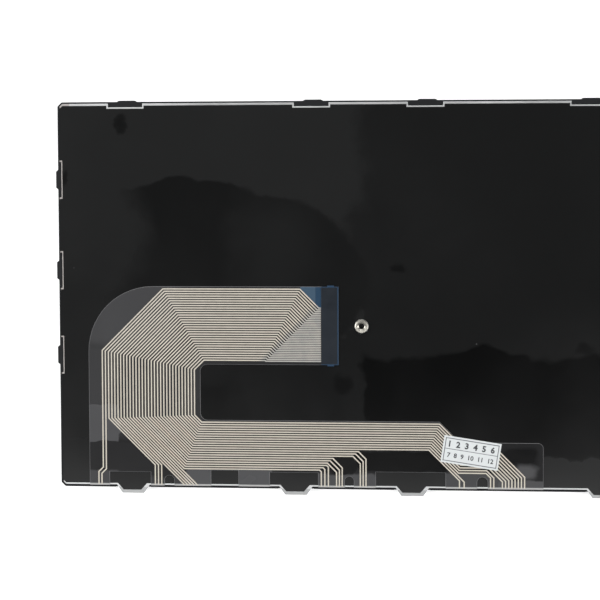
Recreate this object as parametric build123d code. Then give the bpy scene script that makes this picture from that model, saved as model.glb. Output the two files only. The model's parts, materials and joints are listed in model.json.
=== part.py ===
from build123d import *
import os
from collections import namedtuple
from functools import lru_cache
from math import asin, atan2, degrees, hypot, radians, sqrt, tan

# Laptop keyboard, lying face down on its keycaps with its back upwards.
# X runs along the rows, Y towards the rear edge and Z out of the back. Sizes are in millimetres.
# A place on the back is given as "along", from the left edge of the frame as it lies,
# and "down" from the rear edge or "up" from the front edge.

# Key field, as typed: a unit key is one pitch wide.
KEY_PITCH = 19.0
ROW_PITCH = 18.5
FUNCTION_ROW_PITCH = 12.5
SIDE_BORDER = 1.75
REAR_BORDER = 1.9
FRONT_BORDER = 2.1
KEY_GAP = 3.0
ARROW_GAP = 1.0

# Keycaps. The scissor links lie folded in the gap that is left at the end of the travel.
CAP_HEIGHT = 1.7
CAP_CORNER = 1.1
CAP_TAPER = 10.0
KEY_TRAVEL = 1.4
TRAVEL_END_GAP = 0.7

# Moulded frame: ribs between the keys, a ledge for the plate and a rim round the plate.
KEY_PROUD = 1.5
CAP_CLEARANCE = 0.35
RIB_DEPTH = 1.5
LEDGE_WIDTH = 1.5
RIM_WIDTH = 0.4
FRAME_CORNER = 1.2

# Sheets, counted from the keys to the back
MEMBRANE_THICKNESS = 0.25
PLATE_THICKNESS = 0.5
FILM_THICKNESS = 0.12
TAIL_THICKNESS = 0.12
TRACE_THICKNESS = 0.03
STIFFENER_THICKNESS = 0.2
LABEL_THICKNESS = 0.1

# Plate and back film: setbacks of the plate from the frame's edges, and bare margins of the plate.
PLATE_SETBACK = 0.45
PLATE_FRONT_SETBACK = 0.65
MEMBRANE_CLEARANCE = 0.1
FILM_MARGIN_REAR = 0.6
FILM_MARGIN_SIDE = 0.05
FILM_MARGIN_FRONT = 0.45
FILM_MARGIN_REAR_NOTCH = 0.4
FILM_MARGIN_SIDE_NOTCH = 0.25
FILM_MARGIN_NOTCH_ENDS = 0.4
FILM_MARGIN_TAB = 0.55
FILM_MARGIN_TIP = 0.95
FILM_TAB_SHIFT = -0.25

# Snap hooks on the rear and side edges, each in a notch of the plate. The rear notches lie a little
# to one side of their hooks.
REAR_HOOKS = (19.8, 72.3, 104.1, 149.1)
REAR_HOOKS_MIRRORED = REAR_HOOKS[:3]
SIDE_HOOKS = (21.75, 47.35, 71.35)
REAR_NOTCH_WIDTH = 9.8
REAR_NOTCH_DEPTH = 1.5
REAR_NOTCH_SHIFT = -0.5
SIDE_NOTCH_WIDTH = 10.0
SIDE_NOTCH_DEPTH = 1.0
NOTCH_CLEARANCE = 0.1
HOOK_WIDTH = 4.5
HOOK_SLOPE = 0.5
HOOK_HEIGHT = 1.4
REAR_HOOK_REACH = 0.35
SIDE_HOOK_REACH = 0.6

# Trapezoid tabs of the plate at the front edge
TABS = (20.75, 67.2, 100.0, 153.2)
TABS_MIRRORED = TABS[:3]
TAB_ROOT = 9.4
TAB_TIP = 6.1
TAB_REACH = 1.7
TAB_CLEARANCE = 0.3

# Threaded boss riveted into the plate, beside the connector end of the tail
BOSS_FROM_TAIL = 6.45
BOSS_DOWN = 62.9
BOSS_DIAMETER = 3.75
BOSS_SHANK_DIAMETER = 2.8
BOSS_BORE = 1.6
BOSS_PROUD = 0.8
BOSS_FILM_CLEARANCE = 0.1

# Rubber domes and scissor links under the keys that travel
DOME_RADIUS = 3.2
DOME_SIDES = 5
DOME_TAPER = 25.0
LINK_LENGTH = 11.0
LINK_ARM = 0.9
LINK_THICKNESS = 0.6
LINK_SPAN = 10.0
LINK_SIDE_GAP = 0.1
LINK_END_GAP = 0.04
SPACE_LINK_OFFSET = 26.0

# Tail of the membrane, folded round the front edge of the plate and laid on the back.
FOLD_GAP = 0.02
FOLD_BEND = 0.08
TAIL_SLOT_CLEARANCE = 0.08
TAIL_LEFT = 8.3
TAIL_RIGHT = 136.5
TAIL_END = 79.35
TAIL_TOP = 57.15
TAIL_OUTER_RADIUS = 18.5
TAIL_INNER_RADIUS = 2.0
TAIL_LOW_RUN = 19.35
TAIL_STEP = 107.6
TAIL_STEP_UP = 13.6
TAIL_CORNER_RADIUS = 1.5

# Cut-outs in the fold: windows round the first tabs (reach to the left, reach to the right, height),
# a plain window (left, right, height) and round holes that the fold halves (along, width, height).
TAB_WINDOWS = ((6.7, 5.1, 4.4), (7.4, 6.3, 4.65), (10.25, 9.3, 5.05))
PLAIN_WINDOW = (43.1, 50.9, 5.05)
FOLD_HOLES = (
    (TABS[0] + 10.45, 2.8, 3.5), (TABS[1] + 15.1, 2.6, 3.7), (TAIL_RIGHT - 16.9, 3.0, 3.9))

# Printed traces, counted from the outermost: from the pads along the arm, down the riser
# and to the fold.
TRACE_WIDTH = 0.34
TRACE_END_GAP = 0.1
PAD_PITCH = 0.5
PAD_MARGIN = 1.0
FAN_START = 0.7
ARM_PITCH = 0.67
ARM_MARGIN = 0.7
ARM_LOW_MARGIN = 1.2
RISER_PITCH = 0.877
RISER_MARGIN = 3.9
RISER_INNER_MARGIN = 1.7
BEND_FROM_TOP = 18.2
BEND_STEP = 0.178
TURN_MARGIN = 0.2
TURN_STEP = 0.04
LOW_RUN_MARGIN = 0.6
LOW_RUN_PITCH = 0.665
LEAVE_PITCH = 0.27
JOG_WIDTH = 1.3
JOG_UP = 5.65
DIAGONAL_UP = 6.45
MIDDLE_RUN_UP = 5.0
MIDDLE_RUN_PITCH = 0.75

# First columns of the trace groups at the fold: from the second tab, from the tail's step
# and from the tail's right end
TAB_COLUMNS = (7.2, 11.5, 18.2)
STEP_COLUMN = 5.6
END_COLUMNS = (14.65, 11.35)

# How the traces reach the fold, in groups: the form of the path, how many traces, the column of the
# first at the fold and the pitch of the columns, and the last corner's height or length and its step.
TraceGroup = namedtuple("TraceGroup", "form count column pitch corner step", defaults=(0, 0, 0, 0))
TRACE_GROUPS = (
    TraceGroup("jog", 2, corner=JOG_UP, step=-0.5),
    TraceGroup("diagonal", 3, corner=DIAGONAL_UP),
    TraceGroup("slant", 5),
    TraceGroup("run", 3, TABS[1] + TAB_COLUMNS[0], 1.0, 0.5),
    TraceGroup("run", 3, TABS[1] + TAB_COLUMNS[1], 0.8, 2.6),
    TraceGroup("run", 3, TABS[1] + TAB_COLUMNS[2], 0.8, 2.1),
    TraceGroup("step", 2, TAIL_STEP + STEP_COLUMN, 1.3),
    TraceGroup("double", 2, TAIL_RIGHT - END_COLUMNS[0], 0.9, 3.75),
    TraceGroup("double", 8, TAIL_RIGHT - END_COLUMNS[1], 0.88, 2.65, 0.2),
)
TRACE_COUNT = sum(group.count for group in TRACE_GROUPS)
MIDDLE_RUN_COUNT = sum(group.count for group in TRACE_GROUPS if group.form == "double")

# Stiffener on the connector end, with two locating ears
STIFFENER_LENGTH = 4.85
EAR_WIDTH = 1.9
EAR_REACH = 0.35
EAR_FROM_END = 2.2

# Paper sticker
LABEL_WIDTH = 16.1
LABEL_DEPTH = 7.6
LABEL_TURN = -8.7
LABEL_FROM_RIGHT = 20.1
LABEL_UP = 10.75

# Rows from the rear to the front, keys from left to right as typed: name and width in units.
# The word keys are those that print no character.
FUNCTION_NAMES = (
    "escape", "f1", "f2", "f3", "f4", "f5", "f6", "f7", "f8", "f9", "f10", "f11", "f12",
    "insert", "delete")
FUNCTION_ROW = tuple((name, 1.0) for name in FUNCTION_NAMES)
NUMBER_ROW = (
    ("backquote", 1.0), *((digit, 1.0) for digit in "1234567890"),
    ("minus", 1.0), ("equals", 1.0), ("backspace", 2.0))
UPPER_ROW = (
    ("tab", 1.5), *((letter, 1.0) for letter in "qwertyuiop"),
    ("bracket_left", 1.0), ("bracket_right", 1.0), ("backslash", 1.5))
HOME_ROW = (
    ("caps_lock", 1.75), *((letter, 1.0) for letter in "asdfghjkl"),
    ("semicolon", 1.0), ("apostrophe", 1.0), ("enter", 2.25))
LOWER_ROW = (
    ("shift_left", 2.25), *((letter, 1.0) for letter in "zxcvbnm"),
    ("comma", 1.0), ("period", 1.0), ("slash", 1.0), ("shift_right", 2.75))
SPACE_ROW = (
    ("control_left", 1.25), ("function", 1.0), ("menu", 1.0), ("alt_left", 1.25), ("space", 5.5),
    ("alt_right", 1.0), ("control_right", 1.0), ("arrow_left", 1.0), ("arrow_up_down", 1.0),
    ("arrow_right", 1.0))
SPLIT_KEY = "arrow_up_down"
WORD_KEYS = {
    "backspace", "tab", "caps_lock", "enter", "shift_left", "shift_right",
    "control_left", "function", "menu", "alt_left", "alt_right", "control_right",
    "arrow_left", "arrow_up_down", "arrow_right", *FUNCTION_NAMES}
ROWS = (
    (FUNCTION_ROW, FUNCTION_ROW_PITCH), (NUMBER_ROW, ROW_PITCH), (UPPER_ROW, ROW_PITCH),
    (HOME_ROW, ROW_PITCH), (LOWER_ROW, ROW_PITCH), (SPACE_ROW, ROW_PITCH))

# Overall sizes that follow
FRAME_WIDTH = max(sum(units for _, units in row) for row, _ in ROWS) * KEY_PITCH + 2 * SIDE_BORDER
FRAME_DEPTH = sum(pitch for _, pitch in ROWS) + REAR_BORDER + FRONT_BORDER
CENTRE_Y = (TAB_REACH - REAR_HOOK_REACH) / 2
RISER_ALONG = TAIL_LEFT + RISER_MARGIN
TAIL_INNER = RISER_ALONG + (TRACE_COUNT - 1) * RISER_PITCH + RISER_INNER_MARGIN
TAIL_ARM_LOW = TAIL_TOP - ARM_MARGIN - (TRACE_COUNT - 1) * ARM_PITCH - ARM_LOW_MARGIN

# Heights of the layers above the surface that the keycaps lie on
Z_FRAME = KEY_PROUD
Z_RIB_BACK = Z_FRAME + RIB_DEPTH
Z_MEMBRANE = CAP_HEIGHT + KEY_TRAVEL + TRAVEL_END_GAP
Z_PLATE = Z_MEMBRANE + MEMBRANE_THICKNESS
Z_FILM = Z_PLATE + PLATE_THICKNESS
Z_TAIL = Z_FILM + FILM_THICKNESS
Z_TRACE = Z_TAIL + TAIL_THICKNESS
Z_LABEL = Z_TRACE + TRACE_THICKNESS

Cell = namedtuple("Cell", "name x y width depth")


def from_rear(along, down):
    """Place on the plan, by its distance from the left and rear edges of the frame."""
    return along - FRAME_WIDTH / 2, CENTRE_Y + FRAME_DEPTH / 2 - down


def from_front(along, up):
    """Place on the plan, by its distance from the left and front edges of the frame."""
    return from_rear(along, FRAME_DEPTH - up)


def slab(sketch, low, high):
    """Flat solid of a plan outline between two heights."""
    return Pos(0, 0, low) * extrude(sketch, high - low, dir=(0, 0, 1))


def outline(points):
    """Plan face with straight sides through the given places."""
    return make_face(Polyline(*points, close=True))


def plan_box(left, right, low, high):
    """Rectangle between two distances from the left edge and two from the front edge."""
    x, y = from_front((left + right) / 2, (low + high) / 2)
    return Pos(x, y) * Rectangle(right - left, high - low)


def inset_plan(side, rear, front):
    """The frame's rectangle, set in by margins."""
    return plan_box(side, FRAME_WIDTH - side, front, FRAME_DEPTH - rear)


def cut_plan(side, rear, front):
    """The same, with corners cut in step with the cut corners of the frame."""
    plan = inset_plan(side, rear, front)
    return chamfer(plan.vertices(), FRAME_CORNER - (2 - sqrt(2)) * side)


def mirrored(places, repeated):
    """Places along an edge, with some of them repeated from the other end."""
    return tuple(places) + tuple(FRAME_WIDTH - place for place in repeated)


ALL_REAR_HOOKS = mirrored(REAR_HOOKS, REAR_HOOKS_MIRRORED)
ALL_REAR_NOTCHES = tuple(hook + REAR_NOTCH_SHIFT for hook in ALL_REAR_HOOKS)
ALL_TABS = mirrored(TABS, TABS_MIRRORED)
BOSS_PLACE = from_rear(TAIL_END + BOSS_FROM_TAIL, BOSS_DOWN)


# Keys

def key_cells():
    """One cell for each opening of the frame. Face down, the typist's left lies to the right."""
    cells = []
    down = REAR_BORDER
    for row, pitch in ROWS:
        typed = SIDE_BORDER
        for name, units in row:
            width = units * KEY_PITCH
            x, y = from_rear(FRAME_WIDTH - typed - width / 2, down + pitch / 2)
            cells.append(Cell(name, x, y, width - KEY_GAP, pitch - KEY_GAP))
            typed += width
        down += pitch
    return cells


def split_cell(cell):
    """The two half keys, up and down, that share one opening."""
    depth = (cell.depth - ARROW_GAP) / 2
    offset = (depth + ARROW_GAP) / 2
    return [cell._replace(y=cell.y + side * offset, depth=depth) for side in (1, -1)]


@lru_cache(maxsize=None)
def keycap(width, depth, height=CAP_HEIGHT):
    """Keycap with drafted sides and cut corners, lying face down on its top."""
    growth = 2 * (height - CAP_HEIGHT) * tan(radians(CAP_TAPER))
    base = chamfer(Rectangle(width + growth, depth + growth).vertices(), CAP_CORNER)
    return Pos(0, 0, height) * Rot(180, 0, 0) * extrude(base, height, taper=CAP_TAPER)


@lru_cache(maxsize=None)
def dome():
    """Rubber dome with its foot on the membrane and its top under the keycap."""
    foot = RegularPolygon(DOME_RADIUS, DOME_SIDES)
    raised = extrude(foot, Z_MEMBRANE - CAP_HEIGHT, taper=DOME_TAPER)
    return Pos(0, 0, Z_MEMBRANE) * Rot(180, 0, 0) * raised


@lru_cache(maxsize=None)
def scissor_link(span):
    """U-shaped link, tilted from the tips of its arms at the keycap to its crossbar at the membrane."""
    outer = (span + LINK_ARM) / 2
    inner = (span - LINK_ARM) / 2
    end = LINK_LENGTH / 2
    plan = outline([
        (-outer, -end), (outer, -end), (span / 2, end), (inner, LINK_ARM - end),
        (-inner, LINK_ARM - end), (-span / 2, end)])
    rise = Z_MEMBRANE - CAP_HEIGHT - 2 * LINK_END_GAP
    diagonal = hypot(LINK_LENGTH, LINK_THICKNESS)
    tilt = degrees(asin(rise / diagonal) - atan2(LINK_THICKNESS, LINK_LENGTH))
    link = slab(plan, -LINK_THICKNESS / 2, LINK_THICKNESS / 2)
    return Pos(0, 0, (CAP_HEIGHT + Z_MEMBRANE) / 2) * Rot(-tilt, 0, 0) * link


def link_places(cell):
    """Where a key's scissors stand: in its middle, or in two places under the space bar."""
    if cell.name == "space":
        return [(cell.x - SPACE_LINK_OFFSET, cell.y), (cell.x + SPACE_LINK_OFFSET, cell.y)]
    return [(cell.x, cell.y)]


def word_key(cell):
    """Keycap in one piece with the support that stands under it on the membrane."""
    return Pos(cell.x, cell.y) * keycap(cell.width, cell.depth, Z_MEMBRANE)


# Frame

def hook_outline(place, axis_turn, reach):
    """Snap hook on an edge: a low block with sloping ends, reaching out along its local Y."""
    half = HOOK_WIDTH / 2
    foot = half + HOOK_SLOPE
    shape = outline([
        (-foot, -RIM_WIDTH), (foot, -RIM_WIDTH), (foot, 0), (half, reach), (-half, reach), (-foot, 0)])
    return Pos(*place) * Rot(0, 0, axis_turn) * shape


def key_frame(cells):
    """Moulded frame: ribs round every key, the ledge and rim for the plate, and the snap hooks."""
    whole = cut_plan(0, 0, 0)
    room = 2 * CAP_CLEARANCE
    openings = [Pos(c.x, c.y) * Rectangle(c.width + room, c.depth + room) for c in cells]
    frame = slab(whole - openings, Z_FRAME, Z_RIB_BACK)
    frame += slab(whole - inset_plan(LEDGE_WIDTH, LEDGE_WIDTH, LEDGE_WIDTH), Z_RIB_BACK, Z_PLATE)

    rim = whole - cut_plan(RIM_WIDTH, RIM_WIDTH, RIM_WIDTH)
    for along in ALL_TABS:
        half = TAB_ROOT / 2 + TAB_CLEARANCE
        rim -= plan_box(along - half, along + half, -RIM_WIDTH, RIM_WIDTH)
    side_depth = SIDE_NOTCH_DEPTH - NOTCH_CLEARANCE
    side_half = SIDE_NOTCH_WIDTH / 2 - NOTCH_CLEARANCE
    rear_half = REAR_NOTCH_WIDTH / 2 - NOTCH_CLEARANCE
    for along in ALL_REAR_NOTCHES:
        low = FRAME_DEPTH - REAR_NOTCH_DEPTH + NOTCH_CLEARANCE
        rim += plan_box(along - rear_half, along + rear_half, low, FRAME_DEPTH)
    for down in SIDE_HOOKS:
        up = FRAME_DEPTH - down
        rim += plan_box(0, side_depth, up - side_half, up + side_half)
        rim += plan_box(FRAME_WIDTH - side_depth, FRAME_WIDTH, up - side_half, up + side_half)
    frame += slab(rim, Z_PLATE, Z_FILM)

    hooks = [hook_outline(from_rear(along, 0), 0, REAR_HOOK_REACH) for along in ALL_REAR_HOOKS]
    for down in SIDE_HOOKS:
        hooks.append(hook_outline(from_rear(0, down), 90, SIDE_HOOK_REACH))
        hooks.append(hook_outline(from_rear(FRAME_WIDTH, down), -90, SIDE_HOOK_REACH))
    for hook in hooks:
        frame += slab(hook, Z_FILM - HOOK_HEIGHT, Z_FILM)

    # Recess in the front ledge for the root of the tail
    gap = TAIL_SLOT_CLEARANCE
    slot = plan_box(TAIL_LEFT - gap, TAIL_RIGHT + gap, RIM_WIDTH, LEDGE_WIDTH)
    return frame - slab(slot, Z_PLATE - TAIL_THICKNESS - gap, Z_PLATE)


# Plate and back film

def tab_outline(along, edge, margin, tip_margin):
    """Trapezoid tab at the front edge, from the sheet's edge outwards and set in by margins."""
    root = TAB_ROOT / 2 - margin
    tip = TAB_TIP / 2 - margin
    reach = TAB_REACH - tip_margin
    overlap = edge + FILM_MARGIN_FRONT
    ends = [
        (-root, overlap), (root, overlap), (root, edge), (tip, -reach), (-tip, -reach), (-root, edge)]
    return outline([from_front(along + x, up) for x, up in ends])


def notched(sheet, rear_margin, side_margin, end_margin):
    """A sheet with room for the hooks: the notches of the plate, grown by margins."""
    half = REAR_NOTCH_WIDTH / 2 + end_margin
    depth = REAR_NOTCH_DEPTH + rear_margin
    notches = [
        plan_box(along - half, along + half, FRAME_DEPTH - depth, FRAME_DEPTH)
        for along in ALL_REAR_NOTCHES]
    half = SIDE_NOTCH_WIDTH / 2 + end_margin
    depth = SIDE_NOTCH_DEPTH + side_margin
    for down in SIDE_HOOKS:
        up = FRAME_DEPTH - down
        notches.append(plan_box(0, depth, up - half, up + half))
        notches.append(plan_box(FRAME_WIDTH - depth, FRAME_WIDTH, up - half, up + half))
    return sheet - notches


def base_plate():
    """Thin aluminium plate: notched at the hooks, with tabs at the front and a hole for the boss."""
    sheet = cut_plan(PLATE_SETBACK, PLATE_SETBACK, PLATE_FRONT_SETBACK)
    for along in ALL_TABS:
        sheet += tab_outline(along, PLATE_FRONT_SETBACK, 0, 0)
    hole = Pos(*BOSS_PLACE) * Circle(BOSS_SHANK_DIAMETER / 2)
    return slab(notched(sheet, 0, 0, 0) - hole, Z_PLATE, Z_FILM)


def back_film():
    """Black film on the plate, set in so that a bare edge of metal shows."""
    front = PLATE_FRONT_SETBACK + FILM_MARGIN_FRONT
    sheet = cut_plan(PLATE_SETBACK + FILM_MARGIN_SIDE, PLATE_SETBACK + FILM_MARGIN_REAR, front)
    for along in ALL_TABS:
        sheet += tab_outline(along + FILM_TAB_SHIFT, front, FILM_MARGIN_TAB, FILM_MARGIN_TIP)
    sheet = notched(sheet, FILM_MARGIN_REAR_NOTCH, FILM_MARGIN_SIDE_NOTCH, FILM_MARGIN_NOTCH_ENDS)
    hole = Pos(*BOSS_PLACE) * Circle(BOSS_DIAMETER / 2 + BOSS_FILM_CLEARANCE)
    return slab(sheet - hole, Z_FILM, Z_TAIL)


def screw_boss():
    """Threaded boss: a collar on the plate's back and a shank through it, bored for the screw."""
    radius = BOSS_DIAMETER / 2
    shank = BOSS_SHANK_DIAMETER / 2
    top = Z_TAIL + BOSS_PROUD
    section = outline([
        (BOSS_BORE / 2, Z_PLATE), (shank, Z_PLATE), (shank, Z_FILM), (radius, Z_FILM), (radius, top),
        (BOSS_BORE / 2, top)])
    return Pos(*BOSS_PLACE) * revolve(Plane.XZ * section, Axis.Z)


# Membrane circuit

def fold_windows():
    """Left, right and height of each straight-sided window in the fold."""
    windows = [
        (tab - left, tab + right, height) for tab, (left, right, height) in zip(TABS, TAB_WINDOWS)]
    return windows + [PLAIN_WINDOW]


def tail_outline(front):
    """Plan of the tail on the back: an arm to the connector, a riser and a low run along the fold."""
    slope_end = TAIL_STEP + TAIL_LOW_RUN - TAIL_STEP_UP
    corners = [
        (TAIL_LEFT, front, 0), (TAIL_LEFT, TAIL_TOP, TAIL_OUTER_RADIUS), (TAIL_END, TAIL_TOP, 0),
        (TAIL_END, TAIL_ARM_LOW, 0), (TAIL_INNER, TAIL_ARM_LOW, TAIL_INNER_RADIUS),
        (TAIL_INNER, TAIL_LOW_RUN, TAIL_INNER_RADIUS), (TAIL_STEP, TAIL_LOW_RUN, 0),
        (slope_end, TAIL_STEP_UP, 0), (TAIL_RIGHT, TAIL_STEP_UP, TAIL_CORNER_RADIUS),
        (TAIL_RIGHT, front, 0)]
    tail = outline([from_front(along, up) for along, up, _ in corners])
    for along, up, radius in corners:
        if radius:
            corner = tail.vertices().sort_by_distance((*from_front(along, up), 0))[0]
            tail = fillet(corner, radius)
    for left, right, height in fold_windows():
        tail -= plan_box(left, right, 0, height)
    for along, width, height in FOLD_HOLES:
        tail -= plan_box(along - width / 2, along + width / 2, 0, height - width / 2)
        tail -= Pos(*from_front(along, height - width / 2)) * Circle(width / 2)
    return tail


def membrane_circuit():
    """Switch membrane with its tail, in one piece round the front edge of the plate."""
    inset = LEDGE_WIDTH + MEMBRANE_CLEARANCE
    inner = PLATE_FRONT_SETBACK - FOLD_GAP
    outer = inner - TAIL_THICKNESS
    low = Z_PLATE - TAIL_THICKNESS
    section = outline([
        (inset, low), (outer, low), (outer, Z_TRACE), (inset, Z_TRACE),
        (inset, Z_TAIL), (inner, Z_TAIL), (inner, Z_PLATE), (inset, Z_PLATE)])
    section = chamfer(section.vertices().group_by(Axis.X)[0], FOLD_BEND)
    edge = Plane((*from_front(TAIL_LEFT, 0), 0), x_dir=(0, 1, 0), z_dir=(1, 0, 0))
    fold = edge * extrude(section, TAIL_RIGHT - TAIL_LEFT)

    gaps = [(left, right) for left, right, _ in fold_windows()]
    gaps += [(along - width / 2, along + width / 2) for along, width, _ in FOLD_HOLES]
    for left, right in gaps:
        fold -= slab(plan_box(left, right, 0, inset), low, Z_TRACE)
    sheet = slab(inset_plan(inset, inset, inset), Z_MEMBRANE, Z_PLATE)
    return sheet + fold + slab(tail_outline(inset), Z_TAIL, Z_TRACE)


# Printed traces

def trace_ends():
    """For each trace in turn, the form of its end, its column at the fold and its last corner."""
    return [(group.form, group.column + k * group.pitch, group.corner + k * group.step)
            for group in TRACE_GROUPS for k in range(group.count)]


def trace_places(index, form, column, last):
    """Corners of one trace, from its pad at the connector to the fold, as (along, up)."""
    inner = TRACE_COUNT - 1 - index
    pads = TAIL_END - STIFFENER_LENGTH
    pad = TAIL_ARM_LOW + PAD_MARGIN + inner * PAD_PITCH
    fan = pads - FAN_START - index * PAD_PITCH
    arm = TAIL_TOP - ARM_MARGIN - index * ARM_PITCH
    riser = RISER_ALONG + index * RISER_PITCH
    bend = TAIL_TOP - BEND_FROM_TOP - index * BEND_STEP
    turn = TAIL_LOW_RUN + TURN_MARGIN + index * TURN_STEP
    low_run = TAIL_LOW_RUN - LOW_RUN_MARGIN - inner * LOW_RUN_PITCH
    leave = TAIL_STEP - inner * LEAVE_PITCH
    middle = MIDDLE_RUN_UP + (MIDDLE_RUN_COUNT - 1 - inner) * MIDDLE_RUN_PITCH
    edge = PLATE_FRONT_SETBACK + TRACE_END_GAP

    places = [
        (pads - TRACE_END_GAP, pad), (fan, pad), (fan - arm + pad, arm), (riser + arm - bend, arm),
        (riser, bend)]
    if form == "jog":
        foot = riser - JOG_WIDTH
        return places + [(riser, last), (foot, last - JOG_WIDTH), (foot, edge)]
    places.append((riser, turn))
    if form == "slant":
        return places + [(riser + turn - edge, edge)]
    if form == "diagonal":
        foot = riser + turn - last
        return places + [(foot, last), (foot, edge)]
    places.append((riser + turn - low_run, low_run))
    if form == "run":
        return places + [(column - last, low_run), (column, low_run - last), (column, edge)]
    places.append((leave, low_run))
    if form == "step":
        return places + [(column, low_run - column + leave), (column, edge)]
    return places + [
        (leave + low_run - middle, middle), (column - middle + last, middle), (column, last),
        (column, edge)]


def ribbon(places, width):
    """Strip of one width along a line of places, with mitred corners."""
    points = [Vector(*from_front(*place)) for place in places]
    steps = [(b - a).normalized() for a, b in zip(points, points[1:])]
    normals = [Vector(-step.Y, step.X) for step in steps]
    sides = []
    for point, before, after in zip(points, [normals[0]] + normals, normals + [normals[-1]]):
        mitre = (before + after) * (width / 2 / (1 + before.dot(after)))
        sides.append((point + mitre, point - mitre))
    return outline([left for left, _ in sides] + [right for _, right in reversed(sides)])


def silver_traces():
    """One thin strip of printed silver for each line of the circuit."""
    return [slab(ribbon(trace_places(index, *end), TRACE_WIDTH), Z_TRACE, Z_LABEL)
            for index, end in enumerate(trace_ends())]


def tail_stiffener():
    """Stiff strip on the connector end, with an ear at each side."""
    strip = plan_box(TAIL_END - STIFFENER_LENGTH, TAIL_END, TAIL_ARM_LOW, TAIL_TOP)
    ear = TAIL_END - EAR_FROM_END
    strip += plan_box(
        ear - EAR_WIDTH / 2, ear + EAR_WIDTH / 2, TAIL_ARM_LOW - EAR_REACH, TAIL_TOP + EAR_REACH)
    return slab(strip, Z_TRACE, Z_TRACE + STIFFENER_THICKNESS)


def paper_label():
    """Small sticker, put on a little askew over the traces."""
    place = from_front(TAIL_RIGHT - LABEL_FROM_RIGHT, LABEL_UP)
    label = Pos(*place) * Rot(0, 0, LABEL_TURN) * Rectangle(LABEL_WIDTH, LABEL_DEPTH)
    return slab(label, Z_LABEL, Z_LABEL + LABEL_THICKNESS)


def build():
    """Every piece by its name. A list is a group of like pieces."""
    cells = key_cells()
    typing = [cell for cell in cells if cell.name not in WORD_KEYS]
    words = []
    for cell in cells:
        if cell.name == SPLIT_KEY:
            words += split_cell(cell)
        elif cell.name in WORD_KEYS:
            words.append(cell)
    stands = [place for cell in typing for place in link_places(cell)]

    pieces = {
        "back_film": back_film(),
        "base_plate": base_plate(),
        "membrane_circuit": membrane_circuit(),
        "silver_traces": silver_traces(),
        "tail_stiffener": tail_stiffener(),
        "paper_label": paper_label(),
        "screw_boss": screw_boss(),
        "key_frame": key_frame(cells),
        "rubber_domes": [Pos(cell.x, cell.y) * dome() for cell in typing],
        "scissor_outer_links": [Pos(*place) * scissor_link(LINK_SPAN) for place in stands],
        "scissor_inner_links": [
            Pos(*place) * Rot(0, 0, 180) * scissor_link(LINK_SPAN - 2 * LINK_ARM - 2 * LINK_SIDE_GAP)
            for place in stands],
        "word_keys": [word_key(cell) for cell in words],
    }
    for cell in typing:
        pieces["key_" + cell.name] = Pos(cell.x, cell.y) * keycap(cell.width, cell.depth)
    return pieces


os.makedirs("parts", exist_ok=True)
for name, piece in build().items():
    if isinstance(piece, list):
        piece = Compound(children=[solid for item in piece for solid in item.solids()])
    export_step(piece, os.path.join("parts", name + ".step"))
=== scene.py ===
"""Looks of a thin laptop keyboard that lies face down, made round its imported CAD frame."""
import json
import math

import bmesh
import bpy
from mathutils import Matrix, Vector, noise

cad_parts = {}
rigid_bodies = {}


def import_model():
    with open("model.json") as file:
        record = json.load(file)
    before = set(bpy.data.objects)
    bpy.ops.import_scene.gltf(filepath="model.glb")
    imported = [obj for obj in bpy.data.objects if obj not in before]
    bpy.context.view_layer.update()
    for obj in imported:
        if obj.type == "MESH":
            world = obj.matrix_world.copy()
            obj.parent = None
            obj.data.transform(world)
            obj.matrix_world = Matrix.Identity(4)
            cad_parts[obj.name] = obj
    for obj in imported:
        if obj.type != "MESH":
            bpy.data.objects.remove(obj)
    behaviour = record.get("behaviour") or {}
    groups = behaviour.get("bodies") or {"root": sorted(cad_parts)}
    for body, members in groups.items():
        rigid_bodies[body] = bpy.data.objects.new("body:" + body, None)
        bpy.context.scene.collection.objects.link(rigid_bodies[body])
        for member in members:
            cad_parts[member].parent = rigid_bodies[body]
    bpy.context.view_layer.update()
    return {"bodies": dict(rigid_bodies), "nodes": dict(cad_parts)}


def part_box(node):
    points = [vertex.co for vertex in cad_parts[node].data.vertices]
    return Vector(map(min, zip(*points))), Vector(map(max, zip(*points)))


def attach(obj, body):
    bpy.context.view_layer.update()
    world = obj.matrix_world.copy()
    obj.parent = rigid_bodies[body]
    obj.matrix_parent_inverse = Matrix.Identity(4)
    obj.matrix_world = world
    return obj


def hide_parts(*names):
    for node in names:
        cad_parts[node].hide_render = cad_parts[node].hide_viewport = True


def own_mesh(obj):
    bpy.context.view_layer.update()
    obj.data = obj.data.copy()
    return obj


bl_info = {
    "name": "Laptop Keyboard Looks",
    "version": (1, 0, 0),
    "blender": (4, 5, 0),
    "location": "View3D > Sidebar > Keyboard",
    "description": "Dresses the packed keyboard: back film, printed tail, label, boss, frame and keys",
    "category": "Object",
}

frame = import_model()
NODES = frame["nodes"]
MM = 0.001

BASE_BODY = "base"
KEY_PREFIX = "key_"
MOVING_KEYS = sorted(child for child in frame["bodies"] if child.startswith(KEY_PREFIX))
FILM_LOW, FILM_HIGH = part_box("back_film")
PLATE_LOW, PLATE_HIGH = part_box("base_plate")
TAIL_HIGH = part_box("silver_traces")[0].z
BOSS_LOW, BOSS_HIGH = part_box("screw_boss")
LABEL_LOW, LABEL_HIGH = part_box("paper_label")
STRIP_LOW, STRIP_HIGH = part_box("tail_stiffener")
DOME_LOW, DOME_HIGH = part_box("rubber_domes")
SPACE_LOW, SPACE_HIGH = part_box("key_space")
PLATE_SETBACK = 0.45 * MM
LEFT_EDGE = PLATE_LOW.x - PLATE_SETBACK
FRONT_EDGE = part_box("key_frame")[0].y


def on_back(along, up):
    """Place on the back, from millimetres along the front edge and up from it."""
    return LEFT_EDGE + along * MM, FRONT_EDGE + up * MM


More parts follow.
